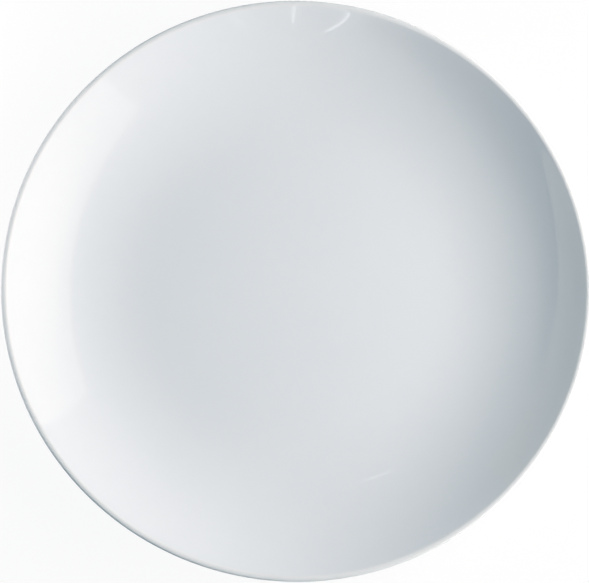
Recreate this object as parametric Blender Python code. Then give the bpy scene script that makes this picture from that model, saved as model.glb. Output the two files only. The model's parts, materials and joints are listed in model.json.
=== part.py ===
"""Rimless dessert plate in white glazed porcelain.

Three turned pieces share one outline: the porcelain body with its foot ring, the glaze coat over the eating
surface, lip and underside, and the separate glaze coat inside the foot ring. Heights and radii are measured
over the glaze. Metres, +Z up, with the origin at the centre of the foot's resting face.
"""
import math

import bmesh
import bpy

# Overall sizes
PLATE_DIAMETER = 0.200
PLATE_HEIGHT = 0.024

# Eating surface: a flat well, then a flank that curves up to the lip
# A sweep of 1 turns up evenly from the well, and a higher one turns up later
WELL_DIAMETER = 0.096
FLANK_SWEEP = 1.5

# Wall, from the well out to the lip
FLOOR_THICKNESS = 0.0045
RIM_THICKNESS = 0.0018

# Lip: a soft round over its crest, then a tight round outside it
LIP_CREST = 0.0020
LIP_EDGE = 0.0007

# Foot ring
FOOT_DIAMETER = 0.116
FOOT_WIDTH = 0.0040
FOOT_HEIGHT = 0.0025
FOOT_FILLET = 0.0012
FOOT_EDGE = 0.0003

# Glaze, which stops short of the bare resting face
GLAZE_THICKNESS = 0.0003
GLAZE_LINE = 0.0010
SEAT_GAP = 0.0003

# Facets
TURN_STEPS = 44
FLANK_STEPS = 9
LIP_STEPS = 2
FILLET_STEPS = 2
MERGE_DISTANCE = 0.000001
SHARP_ANGLE = math.radians(50)
RIGHT_ANGLE = math.pi / 2

# Finishes, as linear colours
BISQUE_COLOUR = (0.76, 0.74, 0.70, 1.0)
GLAZE_COLOUR = (0.785, 0.805, 0.82, 1.0)
BISQUE_ROUGHNESS = 0.75
GLAZE_ROUGHNESS = 0.08

# Derived places
PLATE_RADIUS = PLATE_DIAMETER / 2
WELL_RADIUS = WELL_DIAMETER / 2
WELL_TOP = FOOT_HEIGHT + FLOOR_THICKNESS
LIP_REACH = LIP_CREST - LIP_EDGE
LIP_TURN = math.acos((LIP_CREST + LIP_EDGE - RIM_THICKNESS) / LIP_REACH)
FOOT_OUTER = FOOT_DIAMETER / 2
FOOT_INNER = FOOT_OUTER - FOOT_WIDTH
BODY_DEPTH = GLAZE_THICKNESS + SEAT_GAP


def lip_centres(tilt):
    """Centres of the crest's round and of the edge's round, for a flank with this tilt.

    The highest point is on the crest's round, or on the edge's if the flank is too steep for that.
    """
    lean = LIP_TURN - tilt
    crest_height = PLATE_HEIGHT - LIP_EDGE - LIP_REACH * math.cos(min(lean, 0.0))
    edge_radius = PLATE_RADIUS - LIP_EDGE
    crest = (edge_radius - LIP_REACH * math.sin(lean), crest_height)
    return crest, (edge_radius, crest_height + LIP_REACH * math.cos(lean))


def lip_start(tilt):
    """Point where a flank with this tilt runs into the crest's round."""
    radius, height = lip_centres(tilt)[0]
    return radius - LIP_CREST * math.sin(tilt), height + LIP_CREST * math.cos(tilt)


def lip_tilt():
    """Angle at which the flank meets the lip at the plate's height."""
    tilt = 0.0
    for _ in range(50):
        radius, height = lip_start(tilt)
        tilt = math.atan2((FLANK_SWEEP + 1) * (height - WELL_TOP), radius - WELL_RADIUS)
    return tilt


LIP_TILT = lip_tilt()
CREST_CENTRE, EDGE_CENTRE = lip_centres(LIP_TILT)
FLANK_WIDTH = lip_start(LIP_TILT)[0] - WELL_RADIUS


def rise_share(radius):
    """Share of the lip's slope that the eating surface has reached, from 0 in the well to 1 at the lip."""
    share = min(max((radius - WELL_RADIUS) / FLANK_WIDTH, 0.0), 1.0)
    return share ** FLANK_SWEEP


def rise_run(radius):
    """Run at the lip's slope that would climb as far as the eating surface has climbed at this radius."""
    run = max(radius - WELL_RADIUS, 0.0)
    power = FLANK_SWEEP + 1
    return max(run - FLANK_WIDTH, 0.0) + FLANK_WIDTH * min(run / FLANK_WIDTH, 1.0) ** power / power


def upright_depth(radius, depth):
    """Depth measured straight down through the sloping wall."""
    slope = math.tan(LIP_TILT) * rise_share(radius)
    return depth * math.hypot(1.0, slope)


def eating_height(radius):
    """Height of the glazed eating surface."""
    return WELL_TOP + math.tan(LIP_TILT) * rise_run(radius)


def under_height(radius):
    """Height of the glazed underside outside the foot ring."""
    wall = FLOOR_THICKNESS + (RIM_THICKNESS - FLOOR_THICKNESS) * rise_share(radius)
    return eating_height(radius) - upright_depth(radius, wall)


def spaced(first, last, steps):
    """Evenly spaced values, ends included."""
    return [first + (last - first) * step / steps for step in range(steps + 1)]


def arc(centre, radius, first, last, steps):
    """Points along an arc, ends included, with angles in radians from the outward direction."""
    return [(centre[0] + radius * math.cos(angle), centre[1] + radius * math.sin(angle))
            for angle in spaced(first, last, steps)]


def lip_outline(depth):
    """Points between the flank and the underside, through the lip's highest and outermost points."""
    start = LIP_TILT + RIGHT_ANGLE
    change = start - LIP_TURN
    stops = sorted((start, change, RIGHT_ANGLE, 0.0, start - math.pi), reverse=True)
    outline = []
    for first, last in zip(stops, stops[1:]):
        centre, radius = (CREST_CENTRE, LIP_CREST) if last >= change else (EDGE_CENTRE, LIP_EDGE)
        outline += arc(centre, radius - depth, first, last, LIP_STEPS)[1:]
    return outline[:-1]


def outer_outline(depth):
    """Outline at a depth below the glaze: from the well's centre, over the lip, down to the glaze line."""
    flank_edge = CREST_CENTRE[0] - (LIP_CREST - depth) * math.sin(LIP_TILT)
    under_edge = EDGE_CENTRE[0] + (LIP_EDGE - depth) * math.sin(LIP_TILT)
    outline = [(0.0, WELL_TOP - depth)]
    for radius in spaced(WELL_RADIUS, flank_edge, FLANK_STEPS):
        outline.append((radius, eating_height(radius) - upright_depth(radius, depth)))
    outline += lip_outline(depth)

    fillet = min(FOOT_FILLET, under_height(FOOT_OUTER) - GLAZE_LINE)
    fillet_edge = FOOT_OUTER + fillet
    for radius in spaced(under_edge, fillet_edge, FLANK_STEPS):
        outline.append((radius, under_height(radius) + upright_depth(radius, depth)))
    fillet_centre = (fillet_edge, under_height(fillet_edge) - fillet)
    outline += arc(fillet_centre, fillet + depth, RIGHT_ANGLE, math.pi, FILLET_STEPS)[1:]
    outline.append((FOOT_OUTER - depth, GLAZE_LINE))
    return outline


def base_outline(depth):
    """Outline at a depth below the glaze inside the foot ring: from the base's centre to the glaze line."""
    fillet = min(FOOT_FILLET, FOOT_HEIGHT - GLAZE_LINE)
    fillet_centre = (FOOT_INNER - fillet, FOOT_HEIGHT - fillet)
    outline = [(0.0, FOOT_HEIGHT + depth)]
    outline += arc(fillet_centre, fillet + depth, RIGHT_ANGLE, 0.0, FILLET_STEPS)
    outline.append((FOOT_INNER + depth, GLAZE_LINE))
    return outline


def body_outline():
    """Outline of the body under both coats, with the bare foot face between them."""
    foot_face = [
        (FOOT_OUTER - BODY_DEPTH, FOOT_EDGE),
        (FOOT_OUTER - BODY_DEPTH - FOOT_EDGE, 0.0),
        (FOOT_INNER + BODY_DEPTH + FOOT_EDGE, 0.0),
        (FOOT_INNER + BODY_DEPTH, FOOT_EDGE),
    ]
    return outer_outline(BODY_DEPTH)[:-1] + foot_face + base_outline(BODY_DEPTH)[-2::-1]


def coat_outline(outline):
    """Outline of a glaze coat: its outer skin, then back along its underside."""
    return outline(0.0) + outline(GLAZE_THICKNESS)[::-1]


def ceramic(name, colour, roughness):
    """Fired ceramic finish."""
    material = bpy.data.materials.new(name)
    material.use_nodes = True
    shader = material.node_tree.nodes["Principled BSDF"]
    shader.inputs["Base Color"].default_value = colour
    shader.inputs["Roughness"].default_value = roughness
    shader.inputs["Metallic"].default_value = 0.0
    return material


def turned_piece(name, outline, material, parent):
    """Solid turned from an outline that starts and ends on the axis."""
    shape = bmesh.new()
    points = [shape.verts.new((radius, 0.0, height)) for radius, height in outline]
    edges = [shape.edges.new(pair) for pair in zip(points, points[1:])]
    bmesh.ops.spin(shape, geom=points + edges, cent=(0, 0, 0), axis=(0, 0, 1),
                   angle=math.tau, steps=TURN_STEPS, use_merge=True)
    bmesh.ops.remove_doubles(shape, verts=shape.verts, dist=MERGE_DISTANCE)
    bmesh.ops.recalc_face_normals(shape, faces=shape.faces)
    mesh = bpy.data.meshes.new(name)
    shape.to_mesh(mesh)
    shape.free()
    mesh.shade_smooth()
    mesh.set_sharp_from_angle(angle=SHARP_ANGLE)
    mesh.materials.append(material)
    piece = bpy.data.objects.new(name, mesh)
    piece.parent = parent
    bpy.context.scene.collection.objects.link(piece)
    return piece


def main():
    for old in list(bpy.data.objects):
        bpy.data.objects.remove(old, do_unlink=True)
    plate = bpy.data.objects.new("dessert_plate", None)
    bpy.context.scene.collection.objects.link(plate)
    turned_piece("porcelain_body", body_outline(),
                 ceramic("bare_porcelain", BISQUE_COLOUR, BISQUE_ROUGHNESS), plate)
    turned_piece("outer_glaze", coat_outline(outer_outline),
                 ceramic("outer_white_glaze", GLAZE_COLOUR, GLAZE_ROUGHNESS), plate)
    turned_piece("base_glaze", coat_outline(base_outline),
                 ceramic("base_white_glaze", GLAZE_COLOUR, GLAZE_ROUGHNESS), plate)


main()
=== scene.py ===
"""Looks of a rimless porcelain dessert plate: a bare fired body, two white glaze coats and a plain studio."""
import json
import math

import bpy
from bpy.props import FloatProperty, FloatVectorProperty, PointerProperty
from mathutils import Matrix, Vector


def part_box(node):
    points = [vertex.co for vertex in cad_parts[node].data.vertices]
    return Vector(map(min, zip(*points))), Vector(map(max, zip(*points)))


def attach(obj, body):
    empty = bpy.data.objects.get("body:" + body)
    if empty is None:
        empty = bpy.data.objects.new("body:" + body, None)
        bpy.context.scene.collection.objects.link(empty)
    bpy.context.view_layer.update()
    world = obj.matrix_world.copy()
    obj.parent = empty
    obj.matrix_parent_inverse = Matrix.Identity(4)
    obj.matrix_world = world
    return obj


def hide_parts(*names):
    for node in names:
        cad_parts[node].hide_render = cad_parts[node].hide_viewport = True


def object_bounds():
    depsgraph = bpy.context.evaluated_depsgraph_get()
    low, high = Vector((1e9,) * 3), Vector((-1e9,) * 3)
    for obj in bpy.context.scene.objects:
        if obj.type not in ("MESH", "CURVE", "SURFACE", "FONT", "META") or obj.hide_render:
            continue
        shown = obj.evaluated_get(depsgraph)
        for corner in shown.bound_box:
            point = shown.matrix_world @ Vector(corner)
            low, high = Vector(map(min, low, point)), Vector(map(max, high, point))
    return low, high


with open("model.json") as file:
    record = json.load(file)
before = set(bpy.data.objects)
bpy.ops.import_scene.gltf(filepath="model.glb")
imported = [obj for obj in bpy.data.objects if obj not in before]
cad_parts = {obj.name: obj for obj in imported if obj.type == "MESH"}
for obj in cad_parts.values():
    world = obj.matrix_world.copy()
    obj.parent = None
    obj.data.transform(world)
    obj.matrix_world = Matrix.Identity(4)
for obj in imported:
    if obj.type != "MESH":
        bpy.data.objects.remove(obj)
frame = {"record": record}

bl_info = {
    "name": "Porcelain Dessert Plate",
    "version": (1, 0, 0),
    "blender": (4, 5, 0),
    "location": "3D View > Sidebar > Plate",
    "description": "Models a rimless porcelain plate with its glaze coats, bare foot and studio",
    "category": "Add Mesh",
}

# Places that the frame gives
CAD_LOW, CAD_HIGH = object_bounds()
BODY_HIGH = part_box("porcelain_body")[1]
BASE_COAT_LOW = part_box("base_glaze")[0]
MOUNT_PLACES = {mount["name"]: Vector(mount["pos_m"]) for mount in frame["record"]["mounts"]}

# Mesh density and tolerances
TURN_STEPS = 48
SMOOTH_LEVELS = 2
FLANK_STATIONS = 10
CREST_STATIONS = 4
EDGE_STATIONS = 6
FILLET_STATIONS = 4
WELL_RINGS = 3
MERGE_DISTANCE = 0.000001
SEAT_CLEARANCE = 0.00004
TILT_ROUNDS = 50
RIGHT_ANGLE = math.pi / 2

# Scale of a fired tone's second layer, as a multiple of the first one's
TONE_FINENESS = 9.0

# Kiln specks: the fully coloured share of one, and the share of cells that hold none
SPECK_CORE = 0.4
SPECK_FREE = 0.8

# Share of the glaze line's height at which the toasted line begins
FLASH_START = 0.3

# Fades across the mirrored panels, as shares of a panel's own size from its centre
SOFTBOX_MIDDLE = (0.0, 0.1, 0.0)
SOFTBOX_CORE_REACH = 0.05
SOFTBOX_EDGE_REACH = 0.45
FLAG_DARK_TOP = 0.0
FLAG_FADE_TOP = 0.5

# Sockets of a colour mix node, whose names repeat
MIX_SHARE, MIX_FIRST, MIX_SECOND, MIX_RESULT = 0, 6, 7, 2

# The room's and the floor's own light
WHITE = (1.0, 1.0, 1.0, 1.0)

# The photograph's frame and the plate's width in it, in pixels
FRAME_WIDTH = 589
PLATE_WIDTH = 590.7

# The camera's sensor, in millimetres
SENSOR_WIDTH = 36.0


class PlateSizes(bpy.types.PropertyGroup):
    """Sizes of the plate, measured over its glaze."""

    diameter: FloatProperty(
        name="Diameter", description="Across the lip", unit="LENGTH", default=CAD_HIGH.x - CAD_LOW.x)
    height: FloatProperty(
        name="Height", description="From the foot to the lip's crest", unit="LENGTH", default=CAD_HIGH.z)
    well_diameter: FloatProperty(
        name="Well diameter", description="Across the flat well", unit="LENGTH", default=0.096)
    well_top: FloatProperty(
        name="Well height", description="From the foot to the well's surface", unit="LENGTH",
        default=MOUNT_PLACES["well_face"].z)
    flank_sweep: FloatProperty(
        name="Flank sweep", description="1 turns up evenly from the well, more turns up later", default=1.5)
    floor_thickness: FloatProperty(
        name="Floor thickness", description="Wall under the well", unit="LENGTH", default=0.0045)
    rim_thickness: FloatProperty(
        name="Rim thickness", description="Wall at the lip", unit="LENGTH", default=0.0018)
    lip_crest: FloatProperty(
        name="Lip crest", description="Radius of the soft round over the lip", unit="LENGTH", default=0.0020)
    lip_edge: FloatProperty(
        name="Lip edge", description="Radius of the tight round outside the lip", unit="LENGTH",
        default=0.0007)
    foot_radius: FloatProperty(
        name="Foot radius", description="To the middle of the foot ring", unit="LENGTH",
        default=MOUNT_PLACES["foot_rest"].x)
    foot_width: FloatProperty(
        name="Foot width", description="Across the glazed foot ring", unit="LENGTH", default=0.004)
    foot_fillet: FloatProperty(
        name="Foot fillet", description="Hollow round between foot and underside", unit="LENGTH",
        default=0.0012)
    foot_edge: FloatProperty(
        name="Foot edge", description="Rounding along the ground foot face", unit="LENGTH", default=0.0003)
    glaze_line: FloatProperty(
        name="Glaze line", description="Height at which the glaze stops above the foot face", unit="LENGTH",
        default=BASE_COAT_LOW.z)
    body_depth: FloatProperty(
        name="Body depth", description="From the glaze surface to the body under it", unit="LENGTH",
        default=CAD_HIGH.x - BODY_HIGH.x)
    kiln_warp: FloatProperty(
        name="Kiln warp", description="How far firing moves the rim up and down", unit="LENGTH",
        default=0.0004)
    warp_width: FloatProperty(
        name="Warp width", description="Size of the kiln's warps", unit="LENGTH", default=0.11)
    glaze_ripple: FloatProperty(
        name="Glaze ripple", description="Height of the slow waves in the glaze", unit="LENGTH",
        default=0.00004)
    ripple_width: FloatProperty(
        name="Ripple width", description="Size of the waves in the glaze", unit="LENGTH", default=0.022)


class PlateFinish(bpy.types.PropertyGroup):
    """Colours of the fired surfaces."""

    glaze_colour: FloatVectorProperty(
        name="Glaze", description="White glaze over porcelain", subtype="COLOR", size=4,
        default=(0.785, 0.805, 0.82, 1.0))
    deep_glaze_colour: FloatVectorProperty(
        name="Deep glaze", description="Glaze where it ran thicker", subtype="COLOR", size=4,
        default=(0.735, 0.765, 0.79, 1.0))
    thin_glaze_colour: FloatVectorProperty(
        name="Thin glaze", description="Glaze where it drew back over the lip", subtype="COLOR", size=4,
        default=(0.80, 0.805, 0.80, 1.0))
    bisque_colour: FloatVectorProperty(
        name="Bare porcelain", description="Ground foot face", subtype="COLOR", size=4,
        default=(0.76, 0.74, 0.70, 1.0))
    flash_colour: FloatVectorProperty(
        name="Kiln flash", description="Toasted line beside the glaze", subtype="COLOR", size=4,
        default=(0.62, 0.53, 0.43, 1.0))
    speck_colour: FloatVectorProperty(
        name="Kiln specks", description="Pinhead marks from the kiln", subtype="COLOR", size=4,
        default=(0.52, 0.49, 0.45, 1.0))


class PlateStudio(bpy.types.PropertyGroup):
    """Camera, lamp, mirrored panels, room light and floor."""

    camera_elevation: FloatProperty(
        name="Camera elevation", description="Above the table", subtype="ANGLE", default=math.radians(79.6))
    camera_swing: FloatProperty(
        name="Camera swing", description="Turn of the overhead camera towards the left", subtype="ANGLE",
        default=math.radians(6.7))
    camera_distance: FloatProperty(
        name="Camera distance", description="From the plate's lip", unit="LENGTH", default=0.9)
    camera_aim: FloatVectorProperty(
        name="Camera aim", description="Point at the frame's middle, from the lip's centre",
        subtype="TRANSLATION", unit="LENGTH", size=3, default=(-0.00079, -0.00201, 0.0))
    key_azimuth: FloatProperty(
        name="Key azimuth", description="Turn from the right, towards the back", subtype="ANGLE",
        default=math.radians(0.0))
    key_elevation: FloatProperty(
        name="Key elevation", description="Above the table", subtype="ANGLE", default=math.radians(34.0))
    key_distance: FloatProperty(
        name="Key distance", description="From the plate", unit="LENGTH", default=0.54)
    key_width: FloatProperty(
        name="Key width", description="Along the table", unit="LENGTH", default=0.63)
    key_height: FloatProperty(
        name="Key height", description="Across the width", unit="LENGTH", default=0.53)
    key_power: FloatProperty(
        name="Key power", description="Watts of the large lamp on the right", default=5.27)
    key_colour: FloatVectorProperty(
        name="Key colour", description="Light of the large lamp", subtype="COLOR", size=3,
        default=(1.0, 0.886, 0.839))
    softbox_azimuth: FloatProperty(
        name="Softbox azimuth", description="Turn from the right, towards the back", subtype="ANGLE",
        default=math.radians(-4.0))
    softbox_distance: FloatProperty(
        name="Softbox distance", description="From the plate's axis", unit="LENGTH", default=0.45)
    softbox_shift: FloatProperty(
        name="Softbox shift", description="Along its width, towards the back", unit="LENGTH", default=0.07)
    softbox_width: FloatProperty(
        name="Softbox width", description="Along the table", unit="LENGTH", default=0.725)
    softbox_high: FloatProperty(
        name="Softbox high", description="Height of its upper edge", unit="LENGTH", default=0.712)
    softbox_edge: FloatVectorProperty(
        name="Softbox edge", description="Light of its outer face, as it is mirrored", size=4,
        default=(2.25, 2.08, 1.82, 1.0))
    softbox_core: FloatVectorProperty(
        name="Softbox core", description="Light of its middle, as it is mirrored", size=4,
        default=(3.10, 2.85, 2.42, 1.0))
    card_azimuth: FloatProperty(
        name="Card azimuth", description="Turn from the right, towards the back", subtype="ANGLE",
        default=math.radians(166.0))
    card_distance: FloatProperty(
        name="Card distance", description="From the plate's axis", unit="LENGTH", default=0.45)
    card_width: FloatProperty(
        name="Card width", description="Along the table", unit="LENGTH", default=0.75)
    card_high: FloatProperty(
        name="Card high", description="Height of its upper edge", unit="LENGTH", default=0.355)
    card_face: FloatVectorProperty(
        name="Card face", description="Light of the pale card, as it is mirrored", size=4,
        default=(1.2, 1.07, 0.9, 1.0))
    reflector_azimuth: FloatProperty(
        name="Reflector azimuth", description="Turn from the right, towards the back", subtype="ANGLE",
        default=math.radians(168.0))
    reflector_distance: FloatProperty(
        name="Reflector distance", description="From the plate's axis", unit="LENGTH", default=0.14)
    reflector_width: FloatProperty(
        name="Reflector width", description="Along the table", unit="LENGTH", default=0.2)
    reflector_high: FloatProperty(
        name="Reflector high", description="Height of its upper edge", unit="LENGTH", default=0.05)
    reflector_face: FloatVectorProperty(
        name="Reflector face", description="Light of the small reflector", size=4,
        default=(2.2, 2.05, 2.05, 1.0))
    flag_azimuth: FloatProperty(
        name="Flag azimuth", description="Turn from the right, towards the back", subtype="ANGLE",
        default=math.radians(-160.0))
    flag_distance: FloatProperty(
        name="Flag distance", description="From the plate's axis", unit="LENGTH", default=0.6)
    flag_width: FloatProperty(
        name="Flag width", description="Along the table", unit="LENGTH", default=1.7)
    flag_high: FloatProperty(
        name="Flag high", description="Height of its upper edge", unit="LENGTH", default=1.0)
    flag_face: FloatVectorProperty(
        name="Flag face", description="Light of the dark flag, as it is mirrored", size=4,
        default=(0.05, 0.05, 0.05, 1.0))
    strip_width: FloatProperty(
        name="Strip width", description="Across each lit strip in front", unit="LENGTH", default=0.011)
    middle_strip_low: FloatVectorProperty(
        name="Middle strip low", description="Lower end", subtype="TRANSLATION", unit="LENGTH", size=3,
        default=(0.030, -0.6, 0.38))
    middle_strip_high: FloatVectorProperty(
        name="Middle strip high", description="Upper end", subtype="TRANSLATION", unit="LENGTH", size=3,
        default=(0.025, -0.6, 0.51))
    middle_strip_light: FloatVectorProperty(
        name="Middle strip light", description="Light of the middle strip, as it is mirrored", size=4,
        default=(3.9, 3.9, 3.9, 1.0))
    left_strip_low: FloatVectorProperty(
        name="Left strip low", description="Lower end", subtype="TRANSLATION", unit="LENGTH", size=3,
        default=(-0.134, -0.6, 0.385))
    left_strip_bend: FloatVectorProperty(
        name="Left strip bend", description="Where it bends", subtype="TRANSLATION", unit="LENGTH", size=3,
        default=(-0.132, -0.6, 0.44))
    left_strip_high: FloatVectorProperty(
        name="Left strip high", description="Upper end", subtype="TRANSLATION", unit="LENGTH", size=3,
        default=(-0.066, -0.6, 0.58))
    left_strip_light: FloatVectorProperty(
        name="Left strip light", description="Light of the left strip, as it is mirrored", size=4,
        default=(5.5, 5.5, 5.5, 1.0))
    right_strip_low: FloatVectorProperty(
        name="Right strip low", description="Lower end", subtype="TRANSLATION", unit="LENGTH", size=3,
        default=(0.220, -0.6, 0.417))
    right_strip_high: FloatVectorProperty(
        name="Right strip high", description="Upper end", subtype="TRANSLATION", unit="LENGTH", size=3,
        default=(0.162, -0.6, 0.52))
    right_strip_light: FloatVectorProperty(
        name="Right strip light", description="Light of the right strip, as it is mirrored", size=4,
        default=(2.8, 2.8, 2.8, 1.0))
    back_lamp_low: FloatVectorProperty(
        name="Back lamp low", description="Middle of its lower edge", subtype="TRANSLATION", unit="LENGTH",
        size=3, default=(-0.132, 0.6, 1.142))
    back_lamp_high: FloatVectorProperty(
        name="Back lamp high", description="Middle of its upper edge", subtype="TRANSLATION", unit="LENGTH",
        size=3, default=(-0.128, 0.6, 1.176))
    back_lamp_width: FloatProperty(
        name="Back lamp width", description="Along the table", unit="LENGTH", default=0.064)
    back_lamp_light: FloatVectorProperty(
        name="Back lamp light", description="Light of the small lamp at the back, as it is mirrored", size=4,
        default=(4.3, 4.3, 4.3, 1.0))
    fill_strength: FloatProperty(
        name="Fill strength", description="Even light from the room", default=0.2625)
    fill_colour: FloatVectorProperty(
        name="Fill colour", description="Light of the room", subtype="COLOR", size=3,
        default=(0.405, 0.80, 1.0))
    floor_width: FloatProperty(
        name="Floor width", description="Along each side of the floor", unit="LENGTH", default=8.0)
    floor_colour: FloatVectorProperty(
        name="Floor colour", description="Pale floor under the plate", subtype="COLOR", size=4,
        default=(0.85, 0.85, 0.85, 1.0))
    floor_glow: FloatProperty(
        name="Floor glow", description="Share of plain white in the floor as it is seen", subtype="FACTOR",
        default=0.92)


def settings():
    """The plate's own property groups."""
    scene = bpy.context.scene
    return scene.plate_sizes, scene.plate_finish, scene.plate_studio


class PlateSection:
    """The plate's turned section, as heights and outlines at a depth below the glaze."""

    def __init__(self, sizes):
        self.sizes = sizes
        self.radius = sizes.diameter / 2
        self.well_radius = sizes.well_diameter / 2
        self.lip_reach = sizes.lip_crest - sizes.lip_edge
        self.lip_turn = math.acos((sizes.lip_crest + sizes.lip_edge - sizes.rim_thickness) / self.lip_reach)
        self.base_height = sizes.well_top - sizes.floor_thickness
        self.foot_outer = sizes.foot_radius + sizes.foot_width / 2
        self.foot_inner = sizes.foot_radius - sizes.foot_width / 2
        self.tilt = self.lip_tilt()
        self.crest_centre, self.edge_centre = self.lip_centres(self.tilt)
        self.flank_width = self.lip_start(self.tilt)[0] - self.well_radius

    def lip_centres(self, tilt):
        """Centres of the lip's soft crest and of its tight outer edge, for a flank with this tilt."""
        lean = self.lip_turn - tilt
        crest_height = self.sizes.height - self.sizes.lip_edge - self.lip_reach * math.cos(min(lean, 0.0))
        edge_radius = self.radius - self.sizes.lip_edge
        crest = (edge_radius - self.lip_reach * math.sin(lean), crest_height)
        return crest, (edge_radius, crest_height + self.lip_reach * math.cos(lean))

    def lip_start(self, tilt):
        """Point where a flank with this tilt runs into the lip's crest."""
        radius, height = self.lip_centres(tilt)[0]
        crest = self.sizes.lip_crest
        return radius - crest * math.sin(tilt), height + crest * math.cos(tilt)

    def lip_tilt(self):
        """Angle at which the flank meets the lip at the plate's height."""
        tilt = 0.0
        for _ in range(TILT_ROUNDS):
            radius, height = self.lip_start(tilt)
            climb = (self.sizes.flank_sweep + 1) * (height - self.sizes.well_top)
            tilt = math.atan2(climb, radius - self.well_radius)
        return tilt

    def rise_share(self, radius):
        """Share of the lip's slope that the eating surface has reached."""
        share = min(max((radius - self.well_radius) / self.flank_width, 0.0), 1.0)
        return share ** self.sizes.flank_sweep

    def rise_run(self, radius):
        """Run at the lip's slope that would climb as far as the eating surface has climbed."""
        run = max(radius - self.well_radius, 0.0)
        power = self.sizes.flank_sweep + 1
        curved = self.flank_width * min(run / self.flank_width, 1.0) ** power / power
        return max(run - self.flank_width, 0.0) + curved

    def upright(self, radius, depth):
        """Depth measured straight down through the sloping wall."""
        return depth * math.hypot(1.0, math.tan(self.tilt) * self.rise_share(radius))

    def eating_height(self, radius):
        """Height of the glazed eating surface."""
        return self.sizes.well_top + math.tan(self.tilt) * self.rise_run(radius)

    def under_height(self, radius):
        """Height of the glazed underside outside the foot."""
        floor, rim = self.sizes.floor_thickness, self.sizes.rim_thickness
        wall = floor + (rim - floor) * self.rise_share(radius)
        return self.eating_height(radius) - self.upright(radius, wall)

    def outer_outline(self, depth):
        """Outline from the well's centre, over the lip and down to the foot's outer wall."""
        crest = self.sizes.lip_crest - depth
        edge = self.sizes.lip_edge - depth
        outline = [(radius, self.sizes.well_top - depth)
                   for radius in spaced(0.0, self.well_radius, WELL_RINGS)[:-1]]
        flank_edge = self.crest_centre[0] - crest * math.sin(self.tilt)
        for radius in spaced(self.well_radius, flank_edge, FLANK_STATIONS):
            outline.append((radius, self.eating_height(radius) - self.upright(radius, depth)))
        first, last = self.tilt + RIGHT_ANGLE, self.tilt - RIGHT_ANGLE
        middle = first - self.lip_turn
        outline += arc(self.crest_centre, crest, first, middle, CREST_STATIONS)[1:]
        outline += arc(self.edge_centre, edge, middle, last, EDGE_STATIONS)[1:-1]
        fillet = self.sizes.foot_fillet
        fillet_edge = self.foot_outer + fillet
        under_edge = self.edge_centre[0] + edge * math.sin(self.tilt)
        for radius in spaced(under_edge, fillet_edge, FLANK_STATIONS):
            outline.append((radius, self.under_height(radius) + self.upright(radius, depth)))
        fillet_centre = (fillet_edge, self.under_height(fillet_edge) - fillet)
        outline += arc(fillet_centre, fillet + depth, RIGHT_ANGLE, math.pi, FILLET_STATIONS)[1:]
        return outline

    def base_outline(self, depth):
        """Outline from the base's centre to the foot's inner wall."""
        fillet = self.sizes.foot_fillet
        fillet_centre = (self.foot_inner - fillet, self.base_height - fillet)
        outline = [(radius, self.base_height + depth)
                   for radius in spaced(0.0, fillet_centre[0], WELL_RINGS)[:-1]]
        return outline + arc(fillet_centre, fillet + depth, RIGHT_ANGLE, 0.0, FILLET_STATIONS)

    def coat_outline(self, outline, wall_radius, inward):
        """A glaze coat's closed outline, with a rolled edge at the glaze line.

        Inward is the way from the coat into the foot: -1 towards the axis and 1 away from it.
        """
        depth = self.sizes.body_depth - SEAT_CLEARANCE
        roll_centre = (wall_radius + inward * depth / 2, self.sizes.glaze_line + depth / 2)
        first = 0.0 if inward < 0 else math.pi
        roll = arc(roll_centre, depth / 2, first, first + inward * math.pi, FILLET_STATIONS)
        return outline(0.0) + roll + outline(depth)[::-1]

    def body_outline(self):
        """The body's outline under both coats, with the bare foot between them."""
        depth = self.sizes.body_depth
        edge = self.sizes.foot_edge
        raised = edge * cage_growth(RIGHT_ANGLE / FILLET_STATIONS)
        foot = arc((self.foot_outer - depth - edge, raised), edge, 0.0, -RIGHT_ANGLE, FILLET_STATIONS)
        foot += arc((self.foot_inner + depth + edge, raised), edge, -RIGHT_ANGLE, -math.pi, FILLET_STATIONS)
        return self.outer_outline(depth) + foot + self.base_outline(depth)[::-1]


def spaced(first, last, steps):
    """Evenly spaced values, ends included."""
    return [first + (last - first) * step / steps for step in range(steps + 1)]


def cage_growth(step_angle):
    """How much larger a round cage is than the smooth surface that subdivision leaves inside it."""
    return 3 / (2 + math.cos(step_angle))


def arc(centre, radius, first, last, steps):
    """Cage points along an arc, ends included, which subdivision smooths to the radius."""
    reach = radius * cage_growth((last - first) / steps)
    return [(centre[0] + reach * math.cos(angle), centre[1] + reach * math.sin(angle))
            for angle in spaced(first, last, steps)]


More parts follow.
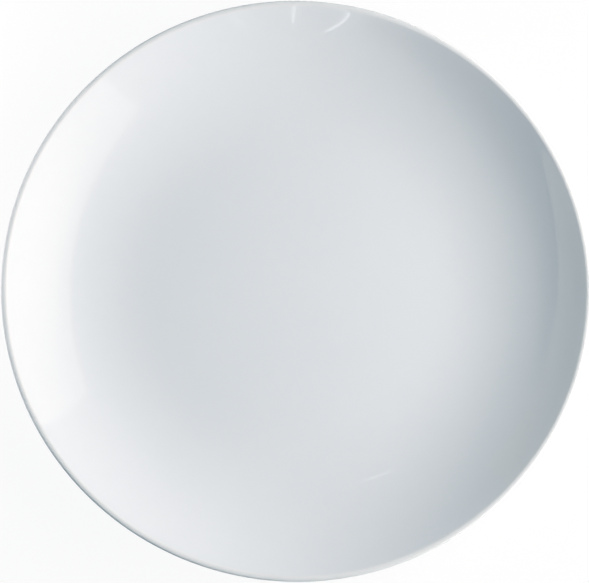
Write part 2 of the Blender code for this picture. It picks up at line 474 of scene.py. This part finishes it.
def turn_outline(name, outline):
    """Extrudes a vertex along an outline, spins it round the plate's axis and rounds the cage."""
    bpy.ops.object.select_all(action="DESELECT")
    growth = cage_growth(math.tau / TURN_STEPS)
    outline = [(radius * growth, height) for radius, height in outline]
    start_radius, start_height = outline[0]
    bpy.ops.mesh.primitive_plane_add(size=MERGE_DISTANCE, location=(start_radius, 0.0, start_height))
    piece = bpy.context.object
    piece.name = name
    piece.data.name = name
    bpy.ops.object.transform_apply(location=True, rotation=True, scale=True)
    bpy.ops.object.mode_set(mode="EDIT")
    bpy.ops.mesh.select_all(action="SELECT")
    bpy.ops.mesh.merge(type="CENTER")
    for here, there in zip(outline, outline[1:]):
        move = (there[0] - here[0], 0.0, there[1] - here[1])
        bpy.ops.mesh.extrude_vertices_move(TRANSFORM_OT_translate={"value": move})
    bpy.ops.mesh.select_all(action="SELECT")
    bpy.ops.mesh.spin(steps=TURN_STEPS, angle=math.tau, center=(0, 0, 0), axis=(0, 0, 1))
    bpy.ops.mesh.select_all(action="SELECT")
    bpy.ops.mesh.remove_doubles(threshold=MERGE_DISTANCE)
    bpy.ops.mesh.normals_make_consistent(inside=False)
    bpy.ops.object.mode_set(mode="OBJECT")
    apply_modifier(piece, "SUBSURF", "smooth", levels=SMOOTH_LEVELS, render_levels=SMOOTH_LEVELS)
    bpy.ops.object.shade_smooth()
    return piece


def apply_modifier(piece, kind, name, **values):
    """Adds a modifier, sets it and applies it."""
    modifier = piece.modifiers.new(name, kind)
    for key, value in values.items():
        setattr(modifier, key, value)
    bpy.context.view_layer.objects.active = piece
    bpy.ops.object.modifier_apply(modifier=modifier.name)


def waves(name, width):
    """Smooth noise for a displacement, shared by the pieces that it moves."""
    texture = bpy.data.textures.get(name) or bpy.data.textures.new(name, "CLOUDS")
    texture.noise_scale = width
    texture.noise_depth = 0
    return texture


def warp_rim(piece, section):
    """Moves the rim up and down a little, as firing does, and leaves the foot flat."""
    rim = piece.vertex_groups.new(name="rim")
    for vertex in piece.data.vertices:
        share = (vertex.co.xy.length - section.foot_outer) / (section.radius - section.foot_outer)
        rim.add([vertex.index], min(max(share, 0.0), 1.0) ** 2, "REPLACE")
    sizes = section.sizes
    apply_modifier(piece, "DISPLACE", "kiln_warp", texture=waves("kiln_warp", sizes.warp_width),
                   texture_coords="LOCAL", direction="Z", strength=sizes.kiln_warp, vertex_group="rim")


def ripple_glaze(piece, sizes):
    """Raises slow waves in a glaze coat."""
    apply_modifier(piece, "DISPLACE", "glaze_ripple", texture=waves("glaze_ripple", sizes.ripple_width),
                   texture_coords="LOCAL", direction="NORMAL", strength=sizes.glaze_ripple)


def add_node(tree, kind, inputs=None, **values):
    """Adds a node, sets its values, and links or fills its inputs."""
    node = tree.nodes.new(kind)
    for key, value in values.items():
        setattr(node, key, value)
    for socket, source in (inputs or {}).items():
        if isinstance(source, bpy.types.NodeSocket):
            tree.links.new(source, node.inputs[socket])
        else:
            node.inputs[socket].default_value = source
    return node


def calculate(tree, operation, *values):
    """Result of a math node."""
    return add_node(tree, "ShaderNodeMath", dict(enumerate(values)), operation=operation).outputs[0]


def weaken(tree, mask, share):
    """Mask held to a share of its strength."""
    return calculate(tree, "MULTIPLY", mask, share)


def add_share(tree, value, extra, share):
    """Value with a share of another on top of it."""
    return calculate(tree, "MULTIPLY_ADD", extra, share, value)


def fade(tree, value, low, high):
    """Smooth step from 0 at the low value to 1 at the high one."""
    limits = {"Value": value, "From Min": low, "From Max": high}
    return add_node(tree, "ShaderNodeMapRange", limits, interpolation_type="SMOOTHSTEP").outputs["Result"]


def between(tree, share, low, high):
    """Value that runs from low to high with a share from 0 to 1."""
    limits = {"Value": share, "To Min": low, "To Max": high}
    return add_node(tree, "ShaderNodeMapRange", limits).outputs["Result"]


def blend(tree, share, first, second):
    """Colour between two colours."""
    mix = add_node(tree, "ShaderNodeMix", data_type="RGBA")
    tree.links.new(share, mix.inputs[MIX_SHARE])
    for socket, colour in ((mix.inputs[MIX_FIRST], first), (mix.inputs[MIX_SECOND], second)):
        if isinstance(colour, bpy.types.NodeSocket):
            tree.links.new(colour, socket)
        else:
            socket.default_value = colour
    return mix.outputs[MIX_RESULT]


def noise(tree, position, scale, detail):
    """Smooth noise from 0 to 1."""
    inputs = {"Vector": position, "Scale": scale, "Detail": detail}
    return add_node(tree, "ShaderNodeTexNoise", inputs).outputs[0]


def new_group(name, inputs, outputs):
    """Node group with its sockets; the position is a vector and every other socket a number."""
    tree = bpy.data.node_groups.new(name, "ShaderNodeTree")
    for socket in inputs:
        kind = "NodeSocketVector" if socket == "Position" else "NodeSocketFloat"
        tree.interface.new_socket(socket, in_out="INPUT", socket_type=kind)
    for socket in outputs:
        tree.interface.new_socket(socket, in_out="OUTPUT", socket_type="NodeSocketFloat")
    return tree, tree.nodes.new("NodeGroupInput").outputs, tree.nodes.new("NodeGroupOutput").inputs


def plate_place_group():
    """Distance from the plate's axis and height above the table."""
    tree, given, result = new_group("plate_place", ["Position"], ["Radius", "Height"])
    parts = add_node(tree, "ShaderNodeSeparateXYZ", {"Vector": given["Position"]}).outputs
    across = calculate(tree, "MULTIPLY", parts["X"], parts["X"])
    square = calculate(tree, "MULTIPLY_ADD", parts["Y"], parts["Y"], across)
    tree.links.new(calculate(tree, "SQRT", square), result["Radius"])
    tree.links.new(parts["Z"], result["Height"])
    return tree


def fired_tone_group():
    """Cloudy unevenness of a fired surface, broad and fine together."""
    tree, given, result = new_group("fired_tone", ["Position", "Scale"], ["Tone"])
    broad = noise(tree, given["Position"], scale=given["Scale"], detail=2.0)
    fine_scale = calculate(tree, "MULTIPLY", given["Scale"], TONE_FINENESS)
    fine = noise(tree, given["Position"], scale=fine_scale, detail=3.0)
    both = add_share(tree, weaken(tree, broad, share=0.65), fine, share=0.35)
    tree.links.new(fade(tree, both, low=0.3, high=0.7), result["Tone"])
    return tree


def kiln_specks_group():
    """Few, small round marks; a size is a share of the cell that holds one."""
    tree, given, result = new_group("kiln_specks", ["Position", "Scale", "Size"], ["Mask"])
    cells = add_node(tree, "ShaderNodeTexVoronoi", {"Vector": given["Position"], "Scale": given["Scale"]})
    core = weaken(tree, given["Size"], share=SPECK_CORE)
    dot = fade(tree, cells.outputs["Distance"], low=given["Size"], high=core)
    pick = add_node(tree, "ShaderNodeSeparateColor", {"Color": cells.outputs["Color"]}).outputs["Red"]
    chosen = calculate(tree, "GREATER_THAN", pick, SPECK_FREE)
    tree.links.new(calculate(tree, "MULTIPLY", dot, chosen), result["Mask"])
    return tree


def glaze_skin_group():
    """Orange peel of a fired glaze, and where it is a little less bright."""
    tree, given, result = new_group("glaze_skin", ["Position"], ["Height", "Haze"])
    peel = noise(tree, given["Position"], scale=210.0, detail=1.0)
    fine = noise(tree, given["Position"], scale=640.0, detail=0.0)
    tree.links.new(add_share(tree, peel, fine, share=0.3), result["Height"])
    tree.links.new(noise(tree, given["Position"], scale=34.0, detail=3.0), result["Haze"])
    return tree


def turning_lines_group():
    """Rings left by the turning tool or the grinding wheel, uneven in height."""
    tree, given, result = new_group("turning_lines", ["Position", "Radius", "Spacing"], ["Height"])
    sway = noise(tree, given["Position"], scale=60.0, detail=1.0)
    turns = calculate(tree, "DIVIDE", given["Radius"], given["Spacing"])
    phase = calculate(tree, "MULTIPLY", calculate(tree, "ADD", turns, sway), math.tau)
    ring = calculate(tree, "MULTIPLY_ADD", calculate(tree, "SINE", phase), 0.5, 0.5)
    tree.links.new(calculate(tree, "MULTIPLY", ring, sway), result["Height"])
    return tree


GROUP_MAKERS = {
    "plate_place": plate_place_group,
    "fired_tone": fired_tone_group,
    "kiln_specks": kiln_specks_group,
    "glaze_skin": glaze_skin_group,
    "turning_lines": turning_lines_group,
}


def use_group(tree, name, **inputs):
    """Outputs of a shared node group, which is made when it is first used."""
    group = bpy.data.node_groups.get(name) or GROUP_MAKERS[name]()
    return add_node(tree, "ShaderNodeGroup", inputs, node_tree=group).outputs


def new_material(name):
    """Empty surface: its node tree, its shader's inputs and its own coordinates."""
    material = bpy.data.materials.new(name)
    material.use_nodes = True
    tree = material.node_tree
    position = tree.nodes.new("ShaderNodeTexCoord").outputs["Object"]
    return material, tree, tree.nodes["Principled BSDF"].inputs, position


def relief(tree, height, depth):
    """Normal of a surface whose height runs from 0 to 1 over this depth in metres."""
    return add_node(tree, "ShaderNodeBump", {"Height": height, "Distance": depth}).outputs["Normal"]


def outer_glaze_material(finish, section):
    """White glaze that is thin over the lip and pools against the foot."""
    material, tree, shader, position = new_material("outer_glaze_skin")
    place = use_group(tree, "plate_place", Position=position)
    tone = use_group(tree, "fired_tone", Position=position, Scale=26.0)["Tone"]
    specks = use_group(tree, "kiln_specks", Position=position, Scale=42.0, Size=0.006)["Mask"]
    skin = use_group(tree, "glaze_skin", Position=position)

    height = section.sizes.height
    thin = fade(tree, place["Height"], height - section.sizes.rim_thickness / 2, height)
    fillet_top = section.under_height(section.foot_outer + section.sizes.foot_fillet)
    pooled = fade(tree, place["Height"], fillet_top, section.sizes.glaze_line)
    uneven = weaken(tree, tone, share=0.22)
    colour = blend(tree, uneven, finish.glaze_colour, finish.deep_glaze_colour)
    colour = blend(tree, thin, colour, finish.thin_glaze_colour)
    colour = blend(tree, weaken(tree, pooled, share=0.8), colour, finish.deep_glaze_colour)
    colour = blend(tree, weaken(tree, specks, share=0.7), colour, finish.speck_colour)
    tree.links.new(colour, shader["Base Color"])
    tree.links.new(between(tree, skin["Haze"], low=0.02, high=0.06), shader["Roughness"])
    tree.links.new(relief(tree, skin["Height"], depth=0.000006), shader["Normal"])
    return material


def base_glaze_material(finish, section):
    """White glaze over faint turning lines, pooled against the foot."""
    material, tree, shader, position = new_material("base_glaze_skin")
    place = use_group(tree, "plate_place", Position=position)
    tone = use_group(tree, "fired_tone", Position=position, Scale=34.0)["Tone"]
    specks = use_group(tree, "kiln_specks", Position=position, Scale=50.0, Size=0.008)["Mask"]
    skin = use_group(tree, "glaze_skin", Position=position)
    lines = use_group(tree, "turning_lines", Position=position, Radius=place["Radius"],
                      Spacing=0.0031)["Height"]

    fillet_edge = section.foot_inner - section.sizes.foot_fillet
    pooled = fade(tree, place["Radius"], fillet_edge - section.sizes.foot_fillet, section.foot_inner)
    uneven = weaken(tree, tone, share=0.35)
    colour = blend(tree, uneven, finish.glaze_colour, finish.deep_glaze_colour)
    colour = blend(tree, weaken(tree, pooled, share=0.8), colour, finish.deep_glaze_colour)
    colour = blend(tree, weaken(tree, specks, share=0.8), colour, finish.speck_colour)
    tree.links.new(colour, shader["Base Color"])
    tree.links.new(between(tree, skin["Haze"], low=0.05, high=0.14), shader["Roughness"])
    surface = add_share(tree, skin["Height"], lines, share=1.6)
    tree.links.new(relief(tree, surface, depth=0.000008), shader["Normal"])
    return material


def bare_porcelain_material(finish, section):
    """Matt fired body, ground in rings on the foot face and toasted beside the glaze."""
    material, tree, shader, position = new_material("ground_bisque")
    place = use_group(tree, "plate_place", Position=position)
    tone = use_group(tree, "fired_tone", Position=position, Scale=120.0)["Tone"]
    specks = use_group(tree, "kiln_specks", Position=position, Scale=260.0, Size=0.07)["Mask"]
    rings = use_group(tree, "turning_lines", Position=position, Radius=place["Radius"],
                      Spacing=0.00037)["Height"]

    glaze_line = section.sizes.glaze_line
    flash = fade(tree, place["Height"], FLASH_START * glaze_line, glaze_line)
    worn = weaken(tree, tone, share=0.16)
    colour = blend(tree, worn, finish.bisque_colour, finish.speck_colour)
    colour = blend(tree, weaken(tree, flash, share=0.55), colour, finish.flash_colour)
    colour = blend(tree, weaken(tree, specks, share=0.6), colour, finish.speck_colour)
    tree.links.new(colour, shader["Base Color"])
    tree.links.new(between(tree, tone, low=0.68, high=0.86), shader["Roughness"])
    grain = noise(tree, position, scale=2600.0, detail=2.0)
    surface = add_share(tree, grain, rings, share=0.8)
    tree.links.new(relief(tree, surface, depth=0.00002), shader["Normal"])
    return material


def seat(piece, material, node):
    """Gives a piece its surface, its place in the frame and its material slot there."""
    piece.data.materials.append(material)
    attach(piece, "root")
    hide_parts(node)


class AddPorcelainBody(bpy.types.Operator):
    """Turn the fired body with its bare foot ring"""

    bl_idname = "plate.add_porcelain_body"
    bl_label = "Porcelain Body"

    def execute(self, context):
        sizes, finish, _ = settings()
        section = PlateSection(sizes)
        piece = turn_outline("fired_body", section.body_outline())
        warp_rim(piece, section)
        seat(piece, bare_porcelain_material(finish, section), "porcelain_body")
        return {"FINISHED"}


class AddOuterGlaze(bpy.types.Operator):
    """Turn the glaze coat over the eating surface, lip and underside"""

    bl_idname = "plate.add_outer_glaze"
    bl_label = "Outer Glaze"

    def execute(self, context):
        sizes, finish, _ = settings()
        section = PlateSection(sizes)
        outline = section.coat_outline(section.outer_outline, section.foot_outer, inward=-1)
        piece = turn_outline("outer_coat", outline)
        warp_rim(piece, section)
        ripple_glaze(piece, sizes)
        seat(piece, outer_glaze_material(finish, section), "outer_glaze")
        return {"FINISHED"}


class AddBaseGlaze(bpy.types.Operator):
    """Turn the glaze coat inside the foot ring"""

    bl_idname = "plate.add_base_glaze"
    bl_label = "Base Glaze"

    def execute(self, context):
        sizes, finish, _ = settings()
        section = PlateSection(sizes)
        outline = section.coat_outline(section.base_outline, section.foot_inner, inward=1)
        piece = turn_outline("base_coat", outline)
        ripple_glaze(piece, sizes)
        seat(piece, base_glaze_material(finish, section), "base_glaze")
        return {"FINISHED"}


def bearing(azimuth):
    """Level direction, turned from the right towards the back."""
    return Vector((math.cos(azimuth), math.sin(azimuth), 0.0))


def add_key(studio):
    """Large soft lamp; the softbox's panel is mirrored in its place."""
    light = bpy.data.lights.new("key", "AREA")
    light.shape = "RECTANGLE"
    light.size, light.size_y = studio.key_width, studio.key_height
    light.energy = studio.key_power
    light.color = studio.key_colour
    lamp = bpy.data.objects.new("key", light)
    bpy.context.scene.collection.objects.link(lamp)
    away = bearing(studio.key_azimuth) * math.cos(studio.key_elevation)
    away.z = math.sin(studio.key_elevation)
    lamp.location = away * studio.key_distance
    lamp.rotation_euler = away.to_track_quat("Z", "Y").to_euler()
    lamp.visible_camera = False
    lamp.visible_glossy = False


def new_glow(name):
    """Plain light for a panel: the material, its tree, its light and the panel's own coordinates."""
    material = bpy.data.materials.new(name)
    material.use_nodes = True
    tree = material.node_tree
    tree.nodes.remove(tree.nodes["Principled BSDF"])
    light = add_node(tree, "ShaderNodeEmission", {"Strength": 1.0})
    tree.links.new(light.outputs[0], tree.nodes["Material Output"].inputs["Surface"])
    position = tree.nodes.new("ShaderNodeTexCoord").outputs["Object"]
    return material, tree, light.inputs["Color"], position


def softbox_material(studio):
    """Softbox face, brighter towards the lamp behind its upper middle."""
    material, tree, light, position = new_glow("softbox")
    middle = add_node(tree, "ShaderNodeVectorMath", {0: position, 1: SOFTBOX_MIDDLE}, operation="DISTANCE")
    glow = fade(tree, middle.outputs["Value"], SOFTBOX_EDGE_REACH, SOFTBOX_CORE_REACH)
    tree.links.new(blend(tree, glow, studio.softbox_edge, studio.softbox_core), light)
    return material


def even_glow(name, colour):
    """Light of one even colour."""
    material, _, light, _ = new_glow(name)
    light.default_value = colour
    return material


def flag_material(studio):
    """Dark flag that fades into the white room above it."""
    material, tree, light, position = new_glow("flag")
    height = add_node(tree, "ShaderNodeSeparateXYZ", {"Vector": position}).outputs["Y"]
    shade = fade(tree, height, FLAG_FADE_TOP, FLAG_DARK_TOP)
    tree.links.new(blend(tree, shade, WHITE, studio.flag_face), light)
    return material


def add_panel(material, away, low, high, width):
    """Panel between the middles of its lower and upper edges, seen only where the plate mirrors it."""
    bpy.ops.object.select_all(action="DESELECT")
    bpy.ops.mesh.primitive_plane_add(size=1.0)
    panel = bpy.context.object
    panel.name = material.name
    rise = high - low
    along = rise.normalized()
    turn = Matrix((along.cross(away), along, away)).transposed()
    panel.matrix_world = Matrix.LocRotScale((low + high) / 2, turn, Vector((width, rise.length, 1.0)))
    panel.data.materials.append(material)
    panel.visible_camera = False
    panel.visible_diffuse = False
    panel.visible_shadow = False
    return panel


def add_upright(material, azimuth, distance, width, high, shift=0.0):
    """Panel that stands on the table and faces the plate, moved along its width by a shift."""
    away = bearing(azimuth)
    foot = away * distance + bearing(azimuth + RIGHT_ANGLE) * shift
    return add_panel(material, away, foot, foot + Vector((0.0, 0.0, high)), width)


def add_reflector(studio):
    """Small panel that lights the outer lip beside it and isn't mirrored."""
    reflector = add_upright(even_glow("reflector", studio.reflector_face), studio.reflector_azimuth,
                            studio.reflector_distance, studio.reflector_width, studio.reflector_high)
    reflector.visible_diffuse = True
    reflector.visible_glossy = False


def add_strips(studio):
    """Thin lit strips in front of the plate, which its far flank mirrors as streaks."""
    strips = {
        "middle_strip": (studio.middle_strip_light, studio.middle_strip_low, studio.middle_strip_high),
        "left_strip": (studio.left_strip_light, studio.left_strip_low, studio.left_strip_bend,
                       studio.left_strip_high),
        "right_strip": (studio.right_strip_light, studio.right_strip_low, studio.right_strip_high),
    }
    for name, (light, *ends) in strips.items():
        material = even_glow(name, light)
        for low, high in zip(ends, ends[1:]):
            add_panel(material, bearing(-RIGHT_ANGLE), Vector(low), Vector(high), studio.strip_width)


def ray_sees(tree):
    """1 for rays that see a surface straight, mirrored or through glass, and 0 for its light."""
    path = tree.nodes.new("ShaderNodeLightPath").outputs
    seen = calculate(tree, "MAXIMUM", path["Is Camera Ray"], path["Is Glossy Ray"])
    return calculate(tree, "MAXIMUM", seen, path["Is Transmission Ray"])


def light_room(studio):
    """World that lights the plate evenly and looks white."""
    world = bpy.data.worlds.new("room")
    bpy.context.scene.world = world
    world.use_nodes = True
    tree = world.node_tree
    fill = tree.nodes["Background"]
    fill.inputs["Color"].default_value = (*studio.fill_colour, 1.0)
    fill.inputs["Strength"].default_value = studio.fill_strength
    white = add_node(tree, "ShaderNodeBackground", {"Color": WHITE, "Strength": 1.0})
    both = add_node(tree, "ShaderNodeMixShader",
                    {0: ray_sees(tree), 1: fill.outputs[0], 2: white.outputs[0]})
    tree.links.new(both.outputs[0], tree.nodes["World Output"].inputs["Surface"])


def lay_floor(studio):
    """Pale floor that looks white and keeps the plate's shadow."""
    bpy.ops.object.select_all(action="DESELECT")
    bpy.ops.mesh.primitive_plane_add(size=studio.floor_width, location=(0, 0, CAD_LOW.z))
    floor = bpy.context.object
    floor.name = "floor"
    material = bpy.data.materials.new("floor")
    material.use_nodes = True
    tree = material.node_tree
    tree.nodes.remove(tree.nodes["Principled BSDF"])
    matt = add_node(tree, "ShaderNodeBsdfDiffuse", {"Color": studio.floor_colour})
    white = add_node(tree, "ShaderNodeEmission", {"Color": WHITE, "Strength": 1.0})
    share = calculate(tree, "MULTIPLY", ray_sees(tree), studio.floor_glow)
    both = add_node(tree, "ShaderNodeMixShader", {0: share, 1: matt.outputs[0], 2: white.outputs[0]})
    tree.links.new(both.outputs[0], tree.nodes["Material Output"].inputs["Surface"])
    floor.data.materials.append(material)


def set_camera(sizes, studio):
    """Overhead camera, leaning as the photograph's did."""
    lean, up = studio.camera_swing, studio.camera_elevation
    back = Vector((-math.sin(lean) * math.cos(up), -math.cos(lean) * math.cos(up), math.sin(up)))
    aim = Vector(studio.camera_aim) + Vector((0.0, 0.0, sizes.height - sizes.rim_thickness / 2))
    eye = bpy.data.cameras.new("camera")
    camera = bpy.data.objects.new("camera", eye)
    scene = bpy.context.scene
    scene.collection.objects.link(camera)
    image_up = (Vector((0, 1, 0)) - back * back.y).normalized()
    turn = Matrix((image_up.cross(back), image_up, back)).transposed()
    camera.matrix_world = Matrix.Translation(aim + back * studio.camera_distance) @ turn.to_4x4()
    eye.sensor_width = SENSOR_WIDTH
    eye.lens = SENSOR_WIDTH * studio.camera_distance / (sizes.diameter * FRAME_WIDTH / PLATE_WIDTH)
    scene.camera = camera
    scene.view_settings.view_transform = "Standard"


class AddStudio(bpy.types.Operator):
    """Set the floor, room light, lamp, mirrored panels and overhead camera"""

    bl_idname = "plate.add_studio"
    bl_label = "Studio"

    def execute(self, context):
        sizes, _, studio = settings()
        lay_floor(studio)
        light_room(studio)
        add_key(studio)
        add_upright(softbox_material(studio), studio.softbox_azimuth, studio.softbox_distance,
                    studio.softbox_width, studio.softbox_high, studio.softbox_shift)
        add_upright(even_glow("card", studio.card_face), studio.card_azimuth, studio.card_distance,
                    studio.card_width, studio.card_high)
        add_upright(flag_material(studio), studio.flag_azimuth, studio.flag_distance,
                    studio.flag_width, studio.flag_high)
        add_reflector(studio)
        add_strips(studio)
        add_panel(even_glow("back_lamp", studio.back_lamp_light), bearing(RIGHT_ANGLE),
                  Vector(studio.back_lamp_low), Vector(studio.back_lamp_high), studio.back_lamp_width)
        set_camera(sizes, studio)
        return {"FINISHED"}


class PlatePanel(bpy.types.Panel):
    """Sidebar panel for the plate"""

    bl_idname = "VIEW3D_PT_porcelain_plate"
    bl_label = "Porcelain Plate"
    bl_space_type = "VIEW_3D"
    bl_region_type = "UI"
    bl_category = "Plate"

    def draw(self, context):
        for operator in OPERATORS:
            self.layout.operator(operator.bl_idname)


GROUPS = {"plate_sizes": PlateSizes, "plate_finish": PlateFinish, "plate_studio": PlateStudio}
OPERATORS = (AddPorcelainBody, AddOuterGlaze, AddBaseGlaze, AddStudio)


def register():
    for cls in (*GROUPS.values(), *OPERATORS, PlatePanel):
        bpy.utils.register_class(cls)
    for name, group in GROUPS.items():
        setattr(bpy.types.Scene, name, PointerProperty(type=group))


def unregister():
    for name in GROUPS:
        delattr(bpy.types.Scene, name)
    for cls in (PlatePanel, *OPERATORS[::-1], *list(GROUPS.values())[::-1]):
        bpy.utils.unregister_class(cls)


def main():
    register()
    bpy.ops.plate.add_porcelain_body()
    bpy.ops.plate.add_outer_glaze()
    bpy.ops.plate.add_base_glaze()
    bpy.ops.plate.add_studio()


if __name__ == "__main__":
    main()
